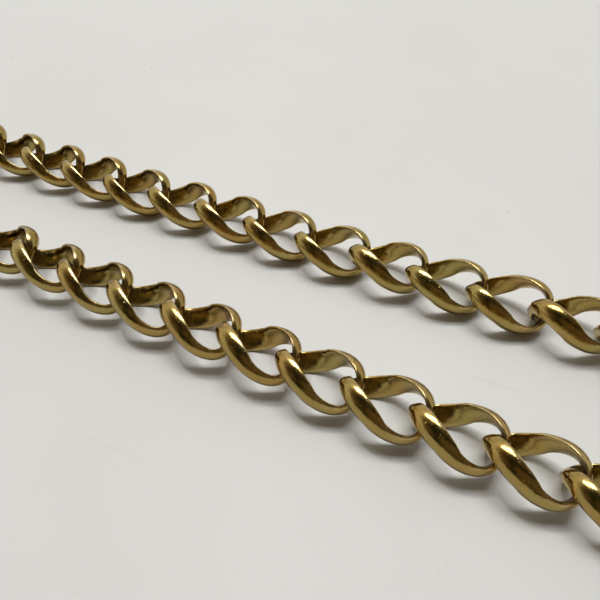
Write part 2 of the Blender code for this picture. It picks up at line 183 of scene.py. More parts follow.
def worn_metal(name, metal, polish, depth=1.2e-5, warm=GOLD_WARM, tarnish=TARNISH_AND_SHADE, masks=False):
    """Polished metal; with masks, its mesh marks nooks for tarnish and painted shade, edges for wear
    and a painted highlight, and solder.
    """
    material = bpy.data.materials.new(name)
    material.use_nodes = True
    tree = material.node_tree
    shader = tree.nodes["Principled BSDF"]
    group = add_node(tree, "ShaderNodeGroup", node_tree=wear)
    group.inputs["Metal"].default_value = (*metal, 1.0)
    group.inputs["Warm"].default_value = (*warm, 1.0)
    group.inputs["Tarnish"].default_value = (*tarnish, 1.0)
    group.inputs["Polish"].default_value = polish
    bump = add_node(tree, "ShaderNodeBump")
    bump.inputs["Distance"].default_value = depth
    feed(tree, bump.inputs["Height"], group.outputs["Height"])
    colour = group.outputs["Colour"]
    if masks:
        feed(tree, group.inputs["Nook"], attribute(tree, "nook"))
        feed(tree, group.inputs["Edge"], attribute(tree, "edge"))
        spot = add_node(tree, "ShaderNodeTexCoord").outputs["Object"]
        fresh = ramp(tree, noise(tree, spot, scale=55.0, detail=1.0), 0.42, 0.58)
        copper = mix_colour(tree, fresh, COPPER_DARK, COPPER_BRIGHT)
        colour = mix_colour(tree, attribute(tree, "bead"), colour, copper)
    feed(tree, shader.inputs["Base Color"], colour)
    feed(tree, shader.inputs["Roughness"], group.outputs["Roughness"])
    feed(tree, shader.inputs["Normal"], bump.outputs["Normal"])
    shader.inputs["Metallic"].default_value = 1.0
    return material


# ---- curb links ------------------------------------------------------------------------
# Thirty-six links of half-round brass band, eighteen to an arm. Each is bent to an oval with
# its band wide along the sides and narrow at the bows, then twisted about its length.

HALF_LENGTH = 6.2 * MM
HALF_WIDTH = 4.3 * MM
SQUARENESS = 2.69
TWIST = 0.8645
TWIST_POWER = 0.8
BAND_WIDE = 3.4 * MM
BAND_NARROW = 1.7 * MM
BAND_THICK = 1.1 * MM
TAPER_POWER = 0.8
STATIONS = 132
BAND_POINTS = 36
CROWDING = -0.13
DOME_RIM = 0.36
DOME_TOP = 0.52
CORE = 0.37
BELLY_AT_BOWS = 0.12
BELLY_AT_SIDES = 0.36
BEAD_HEIGHT = 0.12 * MM
BEAD_PLACE = (0.34, 0.2)
BEAD_TIGHTNESS = (8.0, 6.0)
NOOK_LINE = 0.12
PITCH = 10.0 * MM
RING_INSET = 4.1 * MM
LINKS = 18

link_brass = worn_metal("link_brass_worn", (0.385, 0.298, 0.094), 0.145, 3.2e-5, masks=True)


class Fields:
    """Short names for the field nodes of one geometry tree."""

    def __init__(self, tree):
        self.tree = tree

    def math(self, operation, a, b=None, c=None):
        return math_node(self.tree, operation, a, b, c)

    def power(self, value, exponent):
        """Power of the size of a value, with the value's own sign."""
        size = self.math("POWER", self.math("ABSOLUTE", value), exponent)
        return self.math("MULTIPLY", self.math("SIGN", value), size)

    def vector(self, x, y, z):
        node = add_node(self.tree, "ShaderNodeCombineXYZ")
        for socket, value in zip(node.inputs, (x, y, z)):
            feed(self.tree, socket, value)
        return node.outputs[0]

    def unit(self, vector):
        return vector_node(self.tree, "NORMALIZE", vector)

    def store(self, geometry, name, value, kind):
        node = add_node(self.tree, "GeometryNodeStoreNamedAttribute", data_type=kind)
        node.inputs["Name"].default_value = name
        feed(self.tree, node.inputs["Geometry"], geometry)
        feed(self.tree, node.inputs["Value"], value)
        return node.outputs[0]

    def read(self, name, kind):
        node = add_node(self.tree, "GeometryNodeInputNamedAttribute", data_type=kind)
        node.inputs["Name"].default_value = name
        return node.outputs[0]

    def move(self, geometry, position):
        node = add_node(self.tree, "GeometryNodeSetPosition")
        feed(self.tree, node.inputs["Geometry"], geometry)
        feed(self.tree, node.inputs["Position"], position)
        return node.outputs[0]

    def turn_of(self, steps):
        """Angle of each point round a circle of that many points."""
        index = add_node(self.tree, "GeometryNodeInputIndex").outputs[0]
        return self.math("MULTIPLY", self.math("DIVIDE", index, steps), 2 * math.pi)

    def circle(self, steps):
        node = add_node(self.tree, "GeometryNodeCurvePrimitiveCircle")
        feed(self.tree, node.inputs["Resolution"], steps)
        return node.outputs["Curve"]


def curb_link_tree():
    """Geometry tree of one link, from its driving dimensions, place and turn."""
    tree = bpy.data.node_groups.new("curb_link", "GeometryNodeTree")
    tree.interface.new_socket("Geometry", in_out="INPUT", socket_type="NodeSocketGeometry")
    tree.interface.new_socket("Geometry", in_out="OUTPUT", socket_type="NodeSocketGeometry")
    named = [("Half Length", "NodeSocketFloat", HALF_LENGTH),
             ("Half Width", "NodeSocketFloat", HALF_WIDTH),
             ("Squareness", "NodeSocketFloat", SQUARENESS),
             ("Twist", "NodeSocketFloat", TWIST),
             ("Twist Power", "NodeSocketFloat", TWIST_POWER),
             ("Band Wide", "NodeSocketFloat", BAND_WIDE),
             ("Band Narrow", "NodeSocketFloat", BAND_NARROW),
             ("Band Thick", "NodeSocketFloat", BAND_THICK),
             ("Stations", "NodeSocketInt", STATIONS),
             ("Band Points", "NodeSocketInt", BAND_POINTS),
             ("Solder", "NodeSocketFloat", 1.0),
             ("Place", "NodeSocketVector", (0.0, 0.0, 0.0)),
             ("Turn", "NodeSocketVector", (0.0, 0.0, 0.0)),
             ("Metal", "NodeSocketMaterial", None)]
    for label, kind, value in named:
        socket = tree.interface.new_socket(label, in_out="INPUT", socket_type=kind)
        if value is not None:
            socket.default_value = value
    given = tree.nodes.new("NodeGroupInput").outputs
    f = Fields(tree)

    # the band's centre line: a squarish oval, its points crowded a little where it bends
    turn = f.turn_of(given["Stations"])
    crowd = f.math("SINE", f.math("MULTIPLY", turn, 4.0))
    turn = f.math("MULTIPLY_ADD", crowd, CROWDING, turn)
    rounding = f.math("DIVIDE", 2.0, given["Squareness"])
    along = f.power(f.math("COSINE", turn), rounding)
    aside = f.power(f.math("SINE", turn), rounding)
    x = f.math("MULTIPLY", along, given["Half Length"])
    y = f.math("MULTIPLY", aside, given["Half Width"])
    steepness = f.math("SUBTRACT", given["Squareness"], 1.0)
    normal_x = f.math("DIVIDE", f.power(along, steepness), given["Half Length"])
    normal_y = f.math("DIVIDE", f.power(aside, steepness), given["Half Width"])
    lean = f.math("MULTIPLY", f.power(along, given["Twist Power"]), given["Twist"])
    cosine = f.math("COSINE", lean)
    sine = f.math("SINE", lean)
    swell = f.math("POWER", f.math("ABSOLUTE", aside), TAPER_POWER)
    extra = f.math("SUBTRACT", given["Band Wide"], given["Band Narrow"])
    wide = f.math("MULTIPLY_ADD", extra, swell, given["Band Narrow"])
    outward = f.vector(normal_x, f.math("MULTIPLY", normal_y, cosine),
                       f.math("MULTIPLY", normal_y, sine))
    path = f.circle(given["Stations"])
    path = f.store(path, "wide", wide, "FLOAT")
    path = f.store(path, "swell", f.math("POWER", f.math("ABSOLUTE", aside), 3.0), "FLOAT")
    path = f.store(path, "bow", along, "FLOAT")
    path = f.store(path, "round", aside, "FLOAT")
    path = f.store(path, "outward", f.unit(outward), "FLOAT_VECTOR")
    spot = f.vector(x, f.math("MULTIPLY", y, cosine), f.math("MULTIPLY", y, sine))
    path = f.store(path, "spot", spot, "FLOAT_VECTOR")
    path = f.move(path, f.read("spot", "FLOAT_VECTOR"))

    # square the band to its centre line, then give each point its own outward and across
    tangent = add_node(tree, "GeometryNodeInputTangent").outputs[0]
    stored = f.read("outward", "FLOAT_VECTOR")
    overlap = vector_node(tree, "DOT_PRODUCT", stored, tangent)
    squared = vector_node(tree, "SUBTRACT", stored,
                          vector_node(tree, "SCALE", tangent, scale=overlap))
    path = f.store(path, "outward", f.unit(squared), "FLOAT_VECTOR")
    across = vector_node(tree, "CROSS_PRODUCT", tangent, f.read("outward", "FLOAT_VECTOR"))
    path = f.store(path, "across", across, "FLOAT_VECTOR")

    # the band's section: domed outside, nearly flat inside, thin rims
    angle = f.turn_of(given["Band Points"])
    height = f.math("SINE", angle)
    above = f.math("MAXIMUM", height, 0.0)
    dome = f.math("MULTIPLY", f.math("POWER", above, 2.0), DOME_TOP)
    dome = f.math("MULTIPLY_ADD", above, DOME_RIM, dome)
    belly = f.math("MINIMUM", height, 0.0)
    section = f.circle(given["Band Points"])
    section = f.store(section, "crown", dome, "FLOAT")
    section = f.store(section, "belly", belly, "FLOAT")
    section = f.store(section, "side", f.math("MULTIPLY", f.math("COSINE", angle), 0.5), "FLOAT")
    sweep = add_node(tree, "GeometryNodeCurveToMesh")
    feed(tree, sweep.inputs["Curve"], path)
    feed(tree, sweep.inputs["Profile Curve"], section)
    full = f.math("MULTIPLY_ADD", f.read("swell", "FLOAT"), BELLY_AT_SIDES, BELLY_AT_BOWS)
    crown = f.math("MULTIPLY_ADD", f.read("belly", "FLOAT"), full, f.read("crown", "FLOAT"))

    # the closing joint's bead of solder, beside the tip of one bow
    past_tip = f.math("ADD", f.read("round", "FLOAT"), BEAD_PLACE[0])
    past_tip = f.math("MULTIPLY", past_tip, BEAD_TIGHTNESS[0])
    off_edge = f.math("ADD", f.read("side", "FLOAT"), BEAD_PLACE[1])
    off_edge = f.math("MULTIPLY", off_edge, BEAD_TIGHTNESS[1])
    square = f.math("MULTIPLY_ADD", past_tip, past_tip, f.math("MULTIPLY", off_edge, off_edge))
    bead = f.math("EXPONENT", f.math("MULTIPLY", square, -1.0))
    first = f.math("LESS_THAN", f.read("bow", "FLOAT"), 0.0)
    outer = f.math("GREATER_THAN", f.read("crown", "FLOAT"), 0.0)
    bead = f.math("MULTIPLY", bead, f.math("MULTIPLY", outer, first))
    bead = f.math("MULTIPLY", bead, given["Solder"])

    # set the section on the centre line
    out = f.math("MULTIPLY", f.math("SUBTRACT", crown, CORE), given["Band Thick"])
    out = f.math("MULTIPLY_ADD", bead, BEAD_HEIGHT, out)
    side = f.math("MULTIPLY", f.read("side", "FLOAT"), f.read("wide", "FLOAT"))
    skin = vector_node(tree, "ADD",
                       vector_node(tree, "SCALE", f.read("outward", "FLOAT_VECTOR"), scale=out),
                       vector_node(tree, "SCALE", f.read("across", "FLOAT_VECTOR"), scale=side))
    skin = vector_node(tree, "ADD", skin, f.read("spot", "FLOAT_VECTOR"))
    beaded = f.store(sweep.outputs[0], "bead", bead, "FLOAT")
    link = f.move(beaded, skin)

    # masks for the colour: the rims, lighter with wear and a painted highlight, and the nooks
    # where neighbouring bows bear, darker with tarnish and painted shade
    # rim mask: wear together with a painted highlight line along both rims
    rim_wear_and_sheen = f.math("POWER", f.math("MULTIPLY", f.math("ABSOLUTE", f.read("side", "FLOAT")), 2.0), 6.0)
    link = f.store(link, "edge", rim_wear_and_sheen, "FLOAT")
    # nook mask: tarnish together with painted shade on the inner faces near the bows
    inside = f.math("LESS_THAN", f.read("crown", "FLOAT"), NOOK_LINE)
    near_bow = f.math("POWER", f.math("ABSOLUTE", f.read("bow", "FLOAT")), 3.0)
    link = f.store(link, "nook", f.math("MULTIPLY", inside, near_bow), "FLOAT")

    smooth = add_node(tree, "GeometryNodeSetShadeSmooth")
    feed(tree, smooth.inputs["Geometry"], link)
    lay = add_node(tree, "GeometryNodeTransform")
    feed(tree, lay.inputs["Geometry"], smooth.outputs[0])
    feed(tree, lay.inputs["Translation"], given["Place"])
    to_turn = add_node(tree, "FunctionNodeEulerToRotation")
    feed(tree, to_turn.inputs[0], given["Turn"])
    feed(tree, lay.inputs["Rotation"], to_turn.outputs[0])
    real = add_node(tree, "GeometryNodeRealizeInstances")
    feed(tree, real.inputs[0], lay.outputs[0])
    coat = add_node(tree, "GeometryNodeSetMaterial")
    feed(tree, coat.inputs["Geometry"], real.outputs[0])
    feed(tree, coat.inputs["Material"], given["Metal"])
    feed(tree, tree.nodes.new("NodeGroupOutput").inputs[0], coat.outputs[0])
    return tree


def show(name, mesh, body, slot_name, *nodes):
    """Put a mesh in the scene on its body, standing for the CAD nodes named."""
    obj = bpy.data.objects.new(name, mesh)
    bpy.context.scene.collection.objects.link(obj)
    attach(obj, body)
    if nodes:
        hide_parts(*nodes)


def grow(tree, name, **values):
    """Run a geometry tree with these inputs and keep the result as a plain mesh."""
    seed = bpy.data.objects.new(name + "_seed", bpy.data.meshes.new(name + "_seed"))
    bpy.context.scene.collection.objects.link(seed)
    modifier = seed.modifiers.new("grow", "NODES")
    modifier.node_group = tree
    for item in tree.interface.items_tree:
        key = item.name.replace(" ", "_").lower()
        if item.in_out == "INPUT" and key in values:
            modifier[item.identifier] = values[key]
    graph = bpy.context.evaluated_depsgraph_get()
    mesh = bpy.data.meshes.new_from_object(seed.evaluated_get(graph))
    mesh.name = name
    bpy.data.objects.remove(seed)
    for spare in ("spot", "outward", "across", "wide", "bow", "round", "swell", "crown", "belly",
                  "side"):
        if spare in mesh.attributes:
            mesh.attributes.remove(mesh.attributes[spare])
    return mesh


# how the links lie: the arms' spread, the first links' turn in towards the ring, and each arm's
# yaw, pitch and roll in radians, the roll as a mean and two slow waves (size, step, start)
ARM_SPREAD = math.atan(0.0218)
FAN_END = 4
FAN_ANGLES = {1: 30.0, 2: 14.0, 3: 3.0}
FAN_LEANS = {1: -16.0, 2: -9.0, 3: -3.0}
LIE = {
    "front": {"side": -1.0, "yaw": -0.068, "pitch": -0.026,
              "roll": (-0.24, (0.068, -0.589, 4.483), (0.070, 1.653, -20.652))},
    "rear": {"side": 1.0, "yaw": 0.036, "pitch": -0.003,
             "roll": (-0.047, (0.139, 1.937, -20.011), (0.089, 2.149, -18.493))},
}


def link_turn(arm, number):
    lie = LIE[arm]
    settled = min(1.0, number / FAN_END)
    heading = lie["side"] * (math.radians(FAN_ANGLES[number]) if number < FAN_END else ARM_SPREAD)
    mean, *waves = lie["roll"]
    sway = mean + sum(size * math.sin(step * number + start) for size, step, start in waves)
    roll = math.radians(FAN_LEANS.get(number, 0.0)) + settled * sway
    return Euler((roll, lie["pitch"] * settled, heading + lie["yaw"] * settled), "XYZ")


def link_spot(arm, number):
    """A link's middle, from where its joint is."""
    if number == 1:
        inset = -RING_INSET
    else:
        inset = -HALF_LENGTH if number % 2 else HALF_LENGTH - PITCH
    pivot = Vector(joints[f"{arm}_bend_{number:02d}"]["pos_m"])
    return pivot - link_turn(arm, number).to_matrix() @ Vector((inset, 0.0, 0.0))


curb_link = curb_link_tree()
for arm in ("front", "rear"):
    for number in range(1, LINKS + 1):
        name = f"{arm}_link_{number:02d}"
        mesh = grow(curb_link, name + "_band", place=tuple(link_spot(arm, number)),
                    turn=tuple(link_turn(arm, number)), metal=link_brass)
        show(name + "_band", mesh, name, "link_brass", name)


# ---- rings -----------------------------------------------------------------------------
# Round wire rings: the centre ring that gathers both arms, the small ring the T-bar hangs
# from, the T-bar's own loop, and a jump ring at the end of each arm. Butted and soldered.

# ring sizes in millimetres, as make_mesh takes them
CENTER_RING = {"radius": 5.5, "wire": 0.7, "stations": 180, "sides": 32, "seam": 0.12}
T_BAR_RING = {"radius": 2.6, "wire": 0.55, "seam": 0.14}
JUMP_RING = {"radius": 2.6, "wire": 0.6, "seam": 0.14}
JUMP_RING_OUT = 1.1 * MM
SEAM_REACH = 0.12
UPRIGHT = Matrix.Rotation(math.pi / 2, 4, "X")

ring_brass = worn_metal("ring_brass_worn", (0.43, 0.33, 0.11), 0.19)


def make_mesh(name, vertices, faces, material, matrix=Matrix()):
    """Smooth mesh in metres from millimetre vertices, set in place."""
    mesh = bpy.data.meshes.new(name)
    mesh.from_pydata([matrix @ (Vector(v) * MM) for v in vertices], [], faces)
    edit = bmesh.new()
    edit.from_mesh(mesh)
    bmesh.ops.recalc_face_normals(edit, faces=edit.faces)
    for face in edit.faces:
        face.smooth = True
    edit.to_mesh(mesh)
    edit.free()
    mesh.materials.append(material)
    return mesh


def tube_faces(rings, sides, closed):
    """Faces of a tube whose vertices come ring after ring, closed on itself or capped."""
    faces = []
    for i in range(rings if closed else rings - 1):
        a, b = i * sides, ((i + 1) % rings) * sides
        faces += [(a + j, a + (j + 1) % sides, b + (j + 1) % sides, b + j) for j in range(sides)]
    if not closed:
        faces += [tuple(range(sides)), tuple(range((rings - 1) * sides, rings * sides))]
    return faces


def wire_ring(radius, wire, stations=120, sides=28, seam=0.0):
    """Ring of round wire in the local XY plane, pinched a little at its soldered seam."""
    vertices = []
    for i in range(stations):
        u = 2 * math.pi * i / stations
        away = min(u, 2 * math.pi - u) * radius
        thick = wire * (1.0 - seam * math.exp(-((away / SEAM_REACH) ** 2)))
        for j in range(sides):
            v = 2 * math.pi * j / sides
            r = radius + thick * math.cos(v)
            vertices.append((r * math.cos(u), r * math.sin(u), thick * math.sin(v)))
    return vertices, tube_faces(stations, sides, True)


def middle(node):
    low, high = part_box(node)
    return (Vector(low) + Vector(high)) / 2


def show_ring(node, size, body, slot_name, metal, place):
    """Put a wire ring in place of the CAD node of that name."""
    mesh = make_mesh(node + "_wire", *wire_ring(**size), metal, place)
    show(node + "_wire", mesh, body, slot_name, node)


ring_place = Matrix.Translation(middle("center_ring")) @ Matrix.Rotation(0.9, 4, "Z")
show_ring("center_ring", CENTER_RING, "center_ring", "ring_brass", ring_brass, ring_place)

ring_place = Matrix.Translation(middle("t_bar_ring")) @ UPRIGHT @ Matrix.Rotation(1.7, 4, "Z")
show_ring("t_bar_ring", T_BAR_RING, "t_bar_ring", "ring_brass", ring_brass, ring_place)

for arm in ("front", "rear"):
    bow = Vector(joints[f"{arm}_jump_ring_swing"]["pos_m"])
    turn = link_turn(arm, LINKS).to_matrix().to_4x4()
    ring_place = Matrix.Translation(bow) @ turn @ Matrix.Translation((JUMP_RING_OUT, 0.0, 0.0))
    ring_place = ring_place @ Matrix.Rotation(math.pi / 2 + TWIST, 4, "X")
    ring_place = ring_place @ Matrix.Rotation(1.2, 4, "Z")
    name = f"{arm}_jump_ring"
    show_ring(name, JUMP_RING, name, "ring_brass", ring_brass, ring_place)


# ---- T-bar -----------------------------------------------------------------------------
# Turned brass bar with a swollen middle, a waist on each side and ball ends. A wire loop is
# soldered to its middle with a small fillet, and the bar's group hangs from it.

# heights and spans in millimetres: the loop leans from the rod up to the ring
LOOP = {"radius": 1.9, "wire": 0.55}
ROD_HEIGHT = 1.642
LOOP_TIP_HEIGHT = 3.0
LOOP_SPAN = 6.15
FILLET_BACK = 2.3 * MM

bar_brass = worn_metal("bar_brass_worn", (0.42, 0.32, 0.105), 0.18)
solder = worn_metal("copper_solder", (0.68, 0.36, 0.17), 0.3, 3e-5, warm=(0.58, 0.25, 0.10),
                    tarnish=(0.12, 0.04, 0.02))


def lathe(profile, sides, axis="X"):
    """Solid turned about local X or Z from (place, radius) pairs."""
    vertices = []
    for x, radius in profile:
        for j in range(sides):
            v = 2 * math.pi * j / sides
            a, b = radius * math.cos(v), radius * math.sin(v)
            vertices.append((x, a, b) if axis == "X" else (a, b, x))
    return vertices, tube_faces(len(profile), sides, False)


def smooth_profile(points, steps=5):
    """Catmull-Rom points through a coarse profile."""
    ends = [points[0], *points, points[-1]]
    result = []
    for p0, p1, p2, p3 in zip(ends, ends[1:], ends[2:], ends[3:]):
        for i in range(steps):
            t = i / steps
            result.append(tuple(
                0.5 * (2 * b + (c - a) * t + (2 * a - 5 * b + 4 * c - d) * t * t
                       + (3 * b - a - 3 * c + d) * t ** 3)
                for a, b, c, d in zip(p0, p1, p2, p3)))
    return result + [points[-1]]


bar_half = [(0.0, 1.66), (1.6, 1.63), (2.6, 1.5), (3.0, 1.22), (3.3, 1.22), (3.5, 1.42),
            (3.8, 1.42), (4.0, 1.28), (4.8, 1.34), (6.0, 1.33), (7.2, 1.31), (10.0, 1.18),
            (13.0, 1.1), (13.4, 1.24), (13.7, 1.24), (13.9, 1.1), (14.2, 1.35), (14.6, 1.56),
            (15.0, 1.56), (15.45, 1.33), (15.8, 0.85), (15.98, 0.35), (16.0, 0.05)]
bar_profile = [(-x, r) for x, r in reversed(bar_half[1:])] + bar_half
bar_place = Matrix.Translation(middle("t_bar_rod")) @ Matrix.Rotation(math.pi / 2, 4, "Z")
bar_mesh = make_mesh("t_bar_rod_turned", *lathe(smooth_profile(bar_profile, 4), 48), bar_brass,
                     bar_place)
show("t_bar_rod_turned", bar_mesh, "t_bar", "bar_brass", "t_bar_rod")

loop_lean = Matrix.Rotation(-math.asin((LOOP_TIP_HEIGHT - ROD_HEIGHT) / LOOP_SPAN), 4, "Y")
loop_place = Matrix.Translation(middle("t_bar_loop")) @ loop_lean
show_ring("t_bar_loop", LOOP, "t_bar", "bar_brass", bar_brass, loop_place)

fillet_profile = smooth_profile([(-0.5, 0.95), (-0.1, 0.8), (0.15, 0.66), (0.45, 0.62)], 4)
fillet_place = loop_place @ Matrix.Translation((-FILLET_BACK, 0.0, 0.0))
fillet_mesh = make_mesh("t_bar_fillet", *lathe(fillet_profile, 32), solder, fillet_place)
show("t_bar_fillet", fillet_mesh, "t_bar", "bar_brass")


# ---- swivel clips ----------------------------------------------------------------------
# Cast brass hook, drilled for the eye's stem, which is riveted over inside the hook so that
# the hook spins. The sprung gate turns on a steel pin through the hook's slotted foot.

# sizes in millimetres, as make_mesh takes them
HOOK_X = 4.4
BEND_X = 13.2
BEND_INNER = 3.0
BEND_OUTER = 5.2
CREASE = math.radians(32)
HOOK_HALF = 1.5
HOOK_EDGE = 0.55
SLOT_HALF = 1.15
STEM_BORE = 0.95
PIN_BORE = 0.5
GATE_X = 6.6
GATE_Y = -4.35
GATE_HALF = 0.85
GATE_EDGE = 0.2
KNUCKLE_BORE = 0.75
RELIEF_FLOOR = 0.2
EYE = {"radius": 2.4, "wire": 0.6, "stations": 96, "sides": 24}
EYE_BACK = 0.8 * MM
COIL_RADIUS = 0.75
COIL_WIRE = 0.1
COIL_FOOT = 0.45
COIL_RISE = 0.35
COIL_START = 0.6 * math.pi
COIL_SWEEP = 3.2 * math.pi
COIL_STATIONS = 90
COIL_SIDES = 12

hook_brass = worn_metal("hook_brass_worn", (0.44, 0.34, 0.12), 0.24, 2.4e-5)
eye_brass = worn_metal("eye_brass_worn", (0.41, 0.31, 0.10), 0.2)
gate_brass = worn_metal("gate_brass_worn", (0.47, 0.37, 0.14), 0.2)
pin_steel = worn_metal("pin_steel_worn", (0.52, 0.50, 0.47), 0.3, warm=(0.42, 0.37, 0.31),
                       tarnish=(0.06, 0.04, 0.03))
spring_steel = worn_metal("spring_steel_worn", (0.40, 0.41, 0.43), 0.25, warm=(0.3, 0.27, 0.24),
                          tarnish=(0.05, 0.035, 0.03))


def arc(cx, cy, radius, first, last, steps):
    angles = [math.radians(first + (last - first) * i / steps) for i in range(steps + 1)]
    return [(cx + radius * math.cos(a), cy + radius * math.sin(a)) for a in angles]


def slab(outline, low, high):
    """Flat slab of an outline between two heights."""
    count = len(outline)
    vertices = [(x, y, low) for x, y in outline] + [(x, y, high) for x, y in outline]
    faces = [tuple(range(count))[::-1], tuple(range(count, 2 * count))]
    faces += [(j, (j + 1) % count, count + (j + 1) % count, count + j) for j in range(count)]
    return vertices, faces


def inset(outline, depth):
    """Outline moved inwards along its own normals; it runs anticlockwise."""
    result = []
    count = len(outline)
    for i, (x, y) in enumerate(outline):
        before, after = outline[i - 1], outline[(i + 1) % count]
        normals = []
        for a, b in ((before, (x, y)), ((x, y), after)):
            run = math.hypot(b[0] - a[0], b[1] - a[1])
            normals.append(((a[1] - b[1]) / run, (b[0] - a[0]) / run))
        nx, ny = normals[0][0] + normals[1][0], normals[0][1] + normals[1][1]
        size = max(0.7, (nx * nx + ny * ny) / 2)
        result.append((x + depth * nx / size, y + depth * ny / size))
    return result


def rounded_slab(outline, half, radius, steps=5):
    """Slab with rounded edges, made of outlines stacked from face to face."""
    count = len(outline)
    layers = []
    for i in range(steps + 1):
        angle = math.pi / 2 * i / steps
        layers.append((radius * (1 - math.sin(angle)), radius - half - radius * math.cos(angle)))
    layers += [(depth, -z) for depth, z in reversed(layers)]
    vertices = [(x, y, z) for depth, z in layers for x, y in inset(outline, depth)]
    faces = [tuple(range(count))[::-1], tuple(range(len(vertices) - count, len(vertices)))]
    for k in range(len(layers) - 1):
        a, b = k * count, (k + 1) * count
        faces += [(a + j, a + (j + 1) % count, b + (j + 1) % count, b + j) for j in range(count)]
    return vertices, faces


def shape(mesh, cuts=(), weld=()):
    """Weld and cut a mesh, and return the plain result with its creases kept."""
    scratch = bpy.data.objects.new("scratch", mesh)
    bpy.context.scene.collection.objects.link(scratch)
    tools = []
    for tool_mesh, operation in [(m, "UNION") for m in weld] + [(m, "DIFFERENCE") for m in cuts]:
        tool = bpy.data.objects.new("tool", tool_mesh)
        bpy.context.scene.collection.objects.link(tool)
        tools.append(tool)
        step = scratch.modifiers.new(operation, "BOOLEAN")
        step.operation = operation
        step.solver = "EXACT"
        step.object = tool
    graph = bpy.context.evaluated_depsgraph_get()
    result = bpy.data.meshes.new_from_object(scratch.evaluated_get(graph))
    for spare in [scratch, *tools]:
        bpy.data.objects.remove(spare)
    edit = bmesh.new()
    edit.from_mesh(result)
    for face in edit.faces:
        face.smooth = True
    for edge in edit.edges:
        edge.smooth = len(edge.link_faces) == 2 and edge.calc_face_angle() < CREASE
    edit.to_mesh(result)
    edit.free()
    return result


hook_outline = [(0.0, -2.0), (1.0, -2.0), (1.9, -2.5), (2.9, -3.6), (4.2, -4.9), (4.8, -5.4),
                (5.5, -5.7), (6.4, -5.8), (7.2, -5.7), (7.8, -5.4), (8.2, -4.9), (8.35, -4.2),
                (8.3, -3.6), (8.0, -3.15), (7.6, -3.0), (6.0, -3.0), (5.4, -2.8), (5.0, -2.4),
                (4.7, -1.9), (4.6, -1.4), (4.6, 1.4), (4.7, 1.9), (5.0, 2.4), (5.4, 2.8),
                (6.0, BEND_INNER)]
hook_outline += arc(BEND_X, 0.0, BEND_INNER, 90.0, -50.0, 30)
hook_outline += arc(BEND_X, 0.0, BEND_OUTER, -90.0, 90.0, 44)
hook_outline += [(6.0, BEND_OUTER), (5.0, 5.0), (4.2, 4.55), (3.4, 3.9), (2.6, 3.15), (1.8, 2.4),
                 (1.0, 2.0), (0.0, 2.0)]
gate_outline = arc(0.0, 0.0, 1.4, 48.0, 216.0, 20)
gate_outline += [(-0.6, -1.3), (0.5, -1.12), (1.3, -0.87), (1.6, -1.0), (1.85, -1.38),
                 (2.1, -1.55), (3.1, -1.55), (3.35, -1.38), (3.6, -1.0), (3.9, -0.85)]
gate_outline += [(BEND_X - 0.42 - GATE_X, -0.85), (14.04 - GATE_X, 1.05)]
eye_profile = [(2.95, 0.5), (3.3, 0.75), (3.65, 1.0), (3.8, 1.25), (4.1, 1.3), (4.1, 0.65),
               (9.28, 0.65), (9.3, 1.3), (9.5, 1.4), (9.8, 1.36), (10.05, 1.2), (10.25, 0.9),
               (10.38, 0.5), (10.42, 0.1)]

slot_outline = [(5.0, -7.0), (9.0, -7.0), (9.0, -2.5), (5.0, -2.5)]
relief_outline = [(-1.7, -1.7), (1.3, -1.7), (1.3, 1.7), (-1.7, 1.7)]
pin_profile = [(-1.6, 0.05), (-1.58, 0.22), (-1.52, 0.38), (-1.42, 0.45), (1.42, 0.45),
               (1.52, 0.38), (1.58, 0.22), (1.6, 0.05)]


def clip_turn(arm):
    """The clip's own axes, along its stem, across it and through it."""
    along = Vector(joints[f"{arm}_hook_swivel"]["axis"]).normalized()
    through = Vector(joints[f"{arm}_gate_open"]["axis"]).normalized()
    return Matrix((along, through.cross(along), through)).transposed().to_4x4()


def coil_spring():
    vertices = []
    for i in range(COIL_STATIONS):
        angle = COIL_START + COIL_SWEEP * i / (COIL_STATIONS - 1)
        rise = COIL_RISE * i / (COIL_STATIONS - 1)
        for j in range(COIL_SIDES):
            v = 2 * math.pi * j / COIL_SIDES
            r = COIL_RADIUS + COIL_WIRE * math.cos(v)
            z = COIL_FOOT + rise + COIL_WIRE * math.sin(v)
            vertices.append((r * math.cos(angle), r * math.sin(angle), z))
    return vertices, tube_faces(COIL_STATIONS, COIL_SIDES, False)


